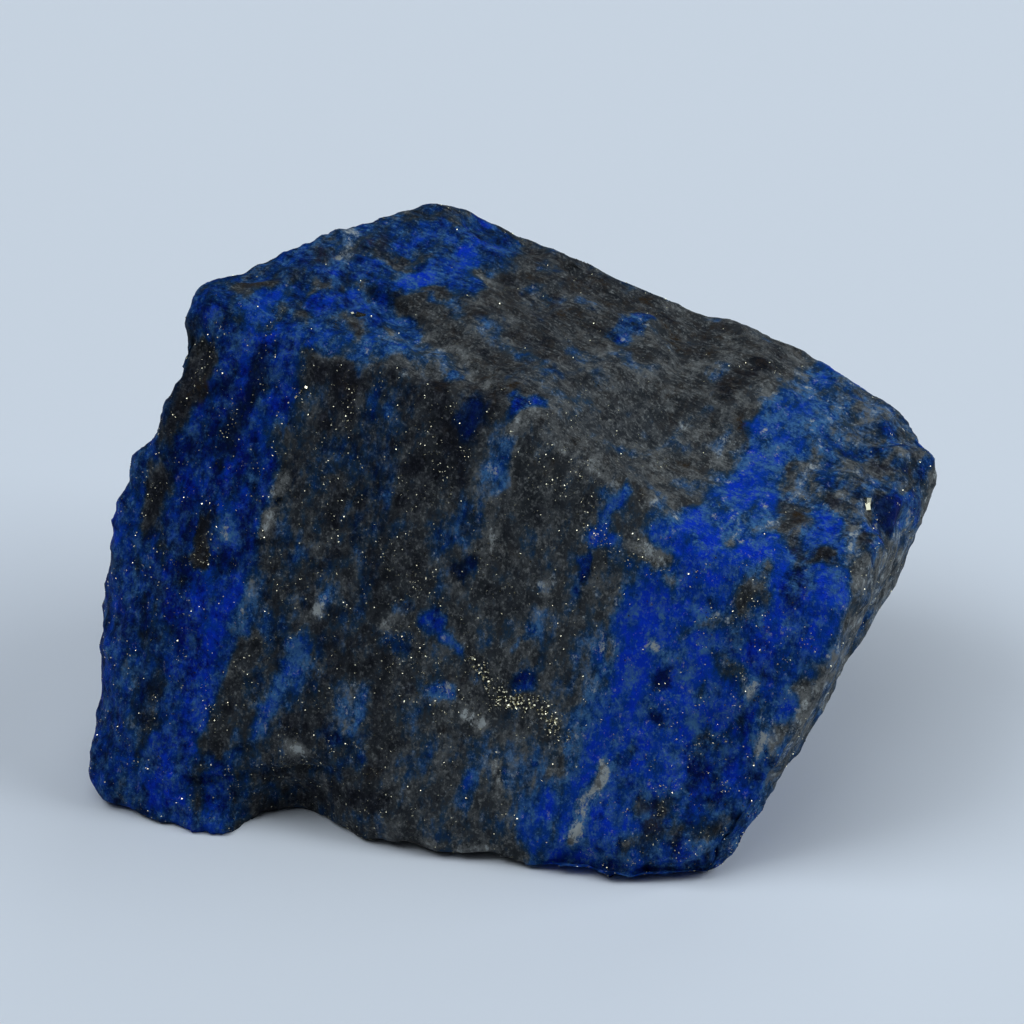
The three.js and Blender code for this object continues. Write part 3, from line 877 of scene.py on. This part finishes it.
def add_node(material, kind, inputs=None, output=0, stops=(), **settings):
    """Adds a node and gives one of its outputs. An input takes a value, or an output to follow."""
    node = material.node_tree.nodes.new("ShaderNode" + kind)
    for name, value in settings.items():
        setattr(node, name, value)
    for name, value in (inputs or {}).items():
        if isinstance(value, bpy.types.NodeSocket):
            material.node_tree.links.new(value, node.inputs[name])
        else:
            node.inputs[name].default_value = value
    while stops and len(node.color_ramp.elements) < len(stops):
        node.color_ramp.elements.new(1)
    for number, (position, colour) in enumerate(stops):
        node.color_ramp.elements[number].position = position
        node.color_ramp.elements[number].color = linear(colour)
    return node.outputs[output]


print("1A2B3C is", [round(v, 3) for v in linear("1A2B3C")], "in linear colour")

# %% Lapis: patterns in the layers
# Each pattern is a noise with cells of a real size. Lazurite breaks into grains of about a
# millimetre, which the layers have drawn out into streaks, and the specks are the finest that show:
# pale grains of calcite, and painted glints.
ACROSS_LAYERS = (0.9, -0.48)  # the way through the layers, seen from above
lapis, lapis_shader = new_material("lapis_lazuli_broken")
place = add_node(lapis, "TexCoord", output="Object")
in_layers = Euler((0, 0, math.atan2(ACROSS_LAYERS[1], ACROSS_LAYERS[0])))
along_top, along_end = (
    Vector(ribs).to_track_quat("X", "Z").to_euler() for ribs in (TOP_RIBS, RIGHT_END_RIBS)
)
patterns = {  # the way it lies, its cells in mm, where it starts in metres, detail and roughness
    "relief": (in_layers, (0.9, 1, 1.1), 0, 6, 0.7),
    "streaks": (in_layers, (1.4, 3.6, 4.4), 0, 2, 0.7),
    "mottle": (in_layers, (0.8, 1, 1.2), 0.3, 6, 0.74),
    "clouds": (in_layers, (1.6, 2.1, 2.4), 0.6, 6, 0.8),
    "specks": (in_layers, (0.3, 0.3, 0.35), 0.2, 2, 0.6),
    "grains": (in_layers, (1.4, 1.8, 2.4), 0.9, 6, 0.76),
    "top_strokes": (along_top, (2.4, 0.5, 0.5), 0, 4, 0.8),
    "end_strokes": (along_end, (7, 0.35, 0.35), 0, 4, 0.8),
}
made_of = {name: add_node(lapis, "Attribute", output="Fac", attribute_name=name) for name in fields}
for name, (turn, cells, start, detail, roughness) in patterns.items():
    inputs = {"Vector": place, "Location": [start] * 3, "Rotation": turn, "Scale": Vector(cells) * MM}
    inputs = {
        "Vector": add_node(lapis, "Mapping", inputs, vector_type="TEXTURE"),
        "Scale": 1,
        "Detail": detail,
        "Roughness": roughness,
    }
    made_of[name] = add_node(lapis, "TexNoise", inputs, normalize=False)
print("the material is made of", ", ".join(made_of))

# %% Lapis: strokes and bump
RING_WIDTH = 0.45 * MM
GREY_GRAIN_HEIGHT = 0.045  # mm
BLUE_GRAIN_EXTRA = 0.055  # mm: pure lazurite has the coarser grain
STROKE_HEIGHT = 0.055  # mm


def sum_of(base, parts, clamp=False):
    """A base with some of each pattern added to it: base + pattern * amount, part by part."""
    for pattern, amount in parts:
        base = add_node(lapis, "Math", {0: pattern, 1: amount, 2: base}, operation="MULTIPLY_ADD")
    base.node.use_clamp = clamp  # the last node keeps the whole sum from 0 to 1
    return base


inputs = {0: place, 1: hollow_middle * MM}
from_hollow = add_node(lapis, "VectorMath", inputs, output="Value", operation="DISTANCE")
inputs = {"W": sum_of(0, [(from_hollow, 1 / RING_WIDTH)]), "Scale": 1, "Detail": 2}
ring_noise = add_node(lapis, "TexNoise", inputs, noise_dimensions="1D", normalize=False)
stroke_parts = [
    (made_of["top_strokes"], made_of["top_ribs"]),
    (made_of["end_strokes"], made_of["end_ribs"]),
    (ring_noise, made_of["rings"]),
]
strokes = sum_of(0, stroke_parts)
grain_height = sum_of(GREY_GRAIN_HEIGHT, [(made_of["lazurite"], BLUE_GRAIN_EXTRA)])
height_mm = sum_of(0, [(made_of["relief"], grain_height), (strokes, STROKE_HEIGHT)])
bump = add_node(lapis, "Bump", {"Height": height_mm, "Distance": MM, "Strength": 1})
lapis.node_tree.links.new(bump, lapis_shader.inputs["Normal"])
print("grain height:", GREY_GRAIN_HEIGHT, "mm, in pure blue", GREY_GRAIN_HEIGHT + BLUE_GRAIN_EXTRA, "mm")

# %% Lapis: the colour by the share of lazurite
rock_colours = [  # from grey host rock over teal to pure blue
    (0.0, "282B2E"), (0.18, "313437"), (0.31, "3A3D40"), (0.45, "2B3E4E"),
    (0.6, "143862"), (0.73, "0A3A84"), (0.85, "0A3FA6"), (1.0, "0838C4"),
]
haze_colours = [(0.4, "777876"), (0.62, "4876A4")]  # calcite in grey rock, and in blue
share = sum_of(made_of["lazurite"], [(made_of["streaks"], 0.2), (made_of["mottle"], 0.14)])
rock = add_node(lapis, "ValToRGB", {0: share}, stops=rock_colours)
haze_colour = add_node(lapis, "ValToRGB", {0: share}, stops=haze_colours)
print(len(rock_colours), "colours from host rock to lazurite")

# %% Lapis: calcite, dark grains, rust, and painted light and shade on the relief
PURE_CALCITE = "A8ACAA"
DARK_GRAINS = "5C6080"
IRON_RUST = "33281B"
SPECK_LEVEL = 0.12  # only the peaks of the noise are specks: calcite grains and painted glints
CLOUDS_IN_GREY, CLOUDS_BLUE_ADDS = 0.4, 0.7  # the clouds of haze show more in pure blue
DARK_IN_GREY, DARK_BLUE_ADDS = 0.75, 0.22  # so do the dark grains
HAZE_STRENGTH = 0.55
WHITE_START, WHITE_STRENGTH = -1.4, 1.1  # the haze turns white only where calcite is nearly pure
EVEN_RUST, MOTTLED_RUST = 0.5, 1.4
speck_peaks = sum_of(-SPECK_LEVEL, [(made_of["specks"], 1)])
specks = add_node(lapis, "Math", {0: speck_peaks, 1: 0}, operation="MAXIMUM")
calcite_grains = sum_of(made_of["calcite"], [(made_of["clouds"], made_of["calcite"])])
cloud_share = sum_of(CLOUDS_IN_GREY, [(made_of["lazurite"], CLOUDS_BLUE_ADDS)])
# Painted light: the haze rises with the bump height and strokes, lighter on raised grains, ribs and rings
haze_and_relief_light_parts = [(made_of["clouds"], cloud_share), (strokes, 0.22), (specks, 2), (height_mm, 3)]
haze = sum_of(0, [(sum_of(calcite_grains, haze_and_relief_light_parts), HAZE_STRENGTH)], clamp=True)
white = sum_of(calcite_grains, [(made_of["mottle"], 1.4)])
white = sum_of(WHITE_START, [(white, WHITE_STRENGTH)], clamp=True)
# Painted shade: the dark grains thicken where the bump sinks, in the small hollows
shade = sum_of(made_of["dark"], [(made_of["grains"], 0.5), (height_mm, -5)], clamp=True)
shade = sum_of(0, [(shade, sum_of(DARK_IN_GREY, [(made_of["lazurite"], DARK_BLUE_ADDS)]))])
mottled = sum_of(EVEN_RUST, [(made_of["mottle"], MOTTLED_RUST)])
stain = sum_of(0, [(mottled, made_of["rust"])], clamp=True)
coats = [  # how much of it, its colour, and how it is laid on the rock
    (haze, haze_colour, "MIX"),
    (white, linear(PURE_CALCITE), "MIX"),
    (shade, linear(DARK_GRAINS), "MULTIPLY"),
    (stain, linear(IRON_RUST), "MIX"),
]
for amount, colour, laid_on in coats:
    inputs = {0: amount, 6: rock, 7: colour}  # the sockets of a mix of two colours
    rock = add_node(lapis, "Mix", inputs, output=2, data_type="RGBA", blend_type=laid_on)
lapis.node_tree.links.new(rock, lapis_shader.inputs["Base Color"])
lapis_shader.inputs["Roughness"].default_value = 0.6
lapis_shader.inputs["Specular IOR Level"].default_value = 0.035  # a broken face has hardly any sheen
stone.data.materials.clear()
stone.data.materials.append(lapis)
print(len(coats), "coats over the rock,", len(lapis.node_tree.nodes), "nodes in all")

# %% [markdown]
# ## Pyrite
#
# Pyrite grows as small brassy cubes. They sit half buried in the fracture, thickest where the rock
# is dark and along one thin vein. Most are less than a tenth of a millimetre wide, and catch the
# light as single sparks. Where they sit is drawn by lot from the faces of the skin, with more
# chances where the rock is rich in them.

# %% How rich the rock is in pyrite
POOR_ROCK, TOP_LOSS = 0.25, 0.8
IN_DARK_GRAINS, IN_GREY_ROCK, IN_THE_RIGHT_BLUE = 1.3, 0.5, 0.9
GREY_ROCK_ENDS = (0.2, 0.5)  # shares of lazurite
DENSER_RIGHT = (16, 20)  # mm across the layers
SWARM_SIZE = 1.6  # mm: pyrite comes in swarms
SWARM_LEVEL = (0, 0.5)
BETWEEN_SWARMS, IN_SWARMS = 0.25, 1.5
clusters = {  # how dense, and the spots in pixels
    "vein": (14, [(478, 662, 3), (490, 680, 3), (508, 700, 4), (530, 712, 4), (552, 736, 3)]),
    "seam": (5, [(590, 530, 7), (610, 546, 8)]),
    "lobe_edge": (6, [(648, 556, 4), (660, 566, 5)]),
    "left_vein": (4, [(203, 540, 6), (192, 562, 7)]),
    "left_top": (3, [(278, 310, 5), (268, 330, 4)]),
    "rusty_spot": (6, [(666, 468, 4)]),
    "crest_flake": (5, [(300, 390, 3)]),
    "right_grain": (3, [(742, 592, 8), (738, 612, 5)]),
    "crest": (2, [(540, 458, 12), (590, 500, 12)]),
    "foot": (2, [(400, 640, 14), (440, 700, 14)]),
    "hollow": (0.1, [(884, 505, 9), (896, 519, 13), (886, 538, 9)]),
}
density = POOR_ROCK + IN_DARK_GRAINS * np.clip(dark, 0, 1)
density += IN_GREY_ROCK * (1 - smooth_step(lazurite, *GREY_ROCK_ENDS))
density += IN_THE_RIGHT_BLUE * smooth_step(across, *DENSER_RIGHT) * (1 - film)
swarms = smooth_step(waves(brushed / SWARM_SIZE, 41), *SWARM_LEVEL)
density *= (BETWEEN_SWARMS + IN_SWARMS * swarms) * (1 - TOP_LOSS * on_top)
for thickness, spots in clusters.values():
    brush(density, thickness, spots)
print("the richest place has", round(float(density.max() / density.mean()), 1), "times the mean")

# %% Where the grains sit
SEED = 11
GRAIN_COUNT = 13000
GRAIN_HALF_SIZE = 0.03  # mm, of a middling grain
GRAIN_SPREAD = 0.42  # of the sizes, on a log scale
GRAIN_HALF_SIZES = (0.018, 0.05)  # mm, the smallest and the largest
GRAIN_GROWTH = 0.8  # grains are this much larger in the thickest clusters
THICK_CLUSTER = (4, 8)  # densities
rng = np.random.default_rng(SEED)
corners = np.array([face.vertices[:] for face in stone.data.polygons])
areas = np.empty(len(corners), np.float32)
stone.data.polygons.foreach_get("area", areas)
face_density = density[corners].mean(axis=1)
chances = areas * face_density
faces = rng.choice(len(corners), GRAIN_COUNT, p=chances / chances.sum())
corner_shares = rng.dirichlet((1, 1, 1, 1), GRAIN_COUNT)
grain_places = (points[corners[faces]] * corner_shares[:, :, None]).sum(axis=1)
grain_sizes = rng.lognormal(math.log(GRAIN_HALF_SIZE), GRAIN_SPREAD, GRAIN_COUNT)
grain_sizes = np.clip(grain_sizes, *GRAIN_HALF_SIZES)
grain_sizes *= 1 + GRAIN_GROWTH * smooth_step(face_density[faces], *THICK_CLUSTER)
print("pyrite:", GRAIN_COUNT, "grains, widest", round(2 * float(grain_sizes.max()), 2), "mm")

# %% One cube, and its copies
# The cube is 2 mm wide, so its corners are at 1 and -1 mm, and each copy scales them to its own size.
GRAIN_SHAPE = (0.7, 1.3)  # each edge is this much shorter or longer than an even cube's
bpy.ops.mesh.primitive_cube_add(size=2 * MM)
crystal = bpy.context.object
cube = points_of(crystal).round(3)
cube_faces = np.array([face.vertices[:] for face in crystal.data.polygons])
bpy.data.meshes.remove(crystal.data)


def random_turns(count):
    """Rotation matrices spread evenly over all directions."""
    turns = [Quaternion(turn).normalized() for turn in rng.normal(size=(count, 4)).tolist()]
    return np.array([np.array(turn.to_matrix()) for turn in turns])


turns = random_turns(GRAIN_COUNT)
shapes = cube * grain_sizes[:, None, None] * rng.uniform(*GRAIN_SHAPE, (GRAIN_COUNT, 1, 3))
cubes = np.einsum("gij,gvj->gvi", turns, shapes) + grain_places[:, None]
print(len(cubes), "cubes of", len(cube_faces), "faces")

# %% The large crystals
# A few crystals are large enough to show their own faces. A face turned half way between the camera
# and the sky shows the light overhead, as the one at the tip does.
facing_up = math.degrees(math.pi / 2 - elevation) / 2
big_crystals = {  # pixel, half the size along its three axes in mm, and its turn in degrees
    "tip": ((877, 503), (0.2, 0.36, 0.3), (facing_up, -9, 0)),
    "tip_dark": ((872, 500), (0.24, 0.3, 0.34), (70, 20, 30)),
    "crest": ((361, 316), (0.42, 0.2, 0.16), (62, 25, 10)),
    "crest_small": ((352, 315), (0.14, 0.1, 0.09), (20, 10, 40)),
    "flake": ((305, 386), (0.12, 0.1, 0.2), (35, 30, 0)),
    "flake_middle": ((301, 391), (0.14, 0.12, 0.16), (60, 10, 30)),
    "flake_low": ((298, 398), (0.1, 0.08, 0.14), (30, 40, 60)),
}
for (x, y), half_sizes, turn_degrees in big_crystals.values():
    spot, _ = on_stone(x, y)
    spot = points[np.argmin(np.linalg.norm(points - spot, axis=1))]
    turn = np.array(Euler([math.radians(angle) for angle in turn_degrees]).to_matrix())
    cubes = np.concatenate([cubes, (cube * half_sizes @ turn.T + spot)[None]])
print(len(big_crystals), "large crystals")

# %% Pyrite grains as one piece
# A pyrite face is a metal mirror, a pale brassy yellow, only a little dulled by its fine growth lines.
grain_faces = (cube_faces + len(cube) * np.arange(len(cubes))[:, None, None]).reshape(-1, 4)
grain_mesh = bpy.data.meshes.new("pyrite_grains")
grain_mesh.from_pydata((cubes.reshape(-1, 3) * MM).tolist(), [], grain_faces.tolist())
grain_mesh.validate()
pyrite_grains = bpy.data.objects.new("pyrite_grains", grain_mesh)
bpy.context.collection.objects.link(pyrite_grains)
pyrite, pyrite_shader = new_material("pyrite_cube_faces")
pyrite_shader.inputs["Base Color"].default_value = linear("CFC8AC")
pyrite_shader.inputs["Metallic"].default_value = 1
pyrite_shader.inputs["Roughness"].default_value = 0.22
grain_mesh.materials.append(pyrite)
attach(pyrite_grains, "root")
print("pyrite faces:", len(grain_mesh.polygons))

# %% [markdown]
# ## Floor and light
#
# The lump lies on a large sheet of pale matt paper. Five soft boxes stand round it, each nearly a
# metre wide: a high one on the left and a low one on the right do most of the work, one overhead
# lights the top, and weak ones in front and behind open the shadows. Boxes of that size, so near,
# give shadows without an edge.

# %% Floor
FLOOR_SIZE = 6  # metres
bpy.ops.mesh.primitive_plane_add(size=FLOOR_SIZE, location=(0, 0, 0))
floor = bpy.context.object
floor.name = "floor"
paper, paper_shader = new_material("matt_paper")  # its fibres scatter the light: no sheen
paper_shader.inputs["Base Color"].default_value = linear("E4E6EA")
paper_shader.inputs["Roughness"].default_value = 0.95
paper_shader.inputs["Specular IOR Level"].default_value = 0.1
floor.data.materials.append(paper)
print("floor:", FLOOR_SIZE, "m wide")

# %% Soft boxes
BOX_DISTANCE = 1.5  # metres
BOX_SIZE = 0.9  # metres
LIGHT_COLOUR = (0.807, 0.905, 1)  # a cool daylight, as a linear colour
soft_boxes = {  # azimuth (0 at the camera, 90 on the left) and height in degrees, power in watts
    "left_box": (90, 55, 9.2),
    "right_box": (268, 35, 13),
    "overhead_box": (180, 86, 4),
    "front_box": (45, 60, 1.6),
    "rear_box": (205, 40, 3),
}
for name, (azimuth, height, power) in soft_boxes.items():
    a, h = math.radians(azimuth), math.radians(height)
    away = Vector((-math.sin(a) * math.cos(h), -math.cos(a) * math.cos(h), math.sin(h)))
    bpy.ops.object.light_add(type="AREA", location=CAMERA_TARGET + away * BOX_DISTANCE)
    lamp = bpy.context.object
    lamp.name = name
    lamp.rotation_mode = "QUATERNION"
    lamp.rotation_quaternion = away.to_track_quat("Z", "Y")
    lamp.data.size = BOX_SIZE
    lamp.data.energy = power
    lamp.data.color = LIGHT_COLOUR
print("lights:", ", ".join(soft_boxes))

# %% Studio
STUDIO_COLOUR = "D6E2F4"
STUDIO_LIGHT = 0.02  # the walls of the room send back hardly any light
world = bpy.data.worlds.new("studio")
bpy.context.scene.world = world
world.use_nodes = True
world.node_tree.nodes["Background"].inputs["Color"].default_value = linear(STUDIO_COLOUR)
world.node_tree.nodes["Background"].inputs["Strength"].default_value = STUDIO_LIGHT
bpy.context.scene.view_settings.view_transform = "Standard"
print("studio light:", STUDIO_LIGHT)

# %% Finish
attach(stone, "root")
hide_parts("rough_lapis_lazuli")
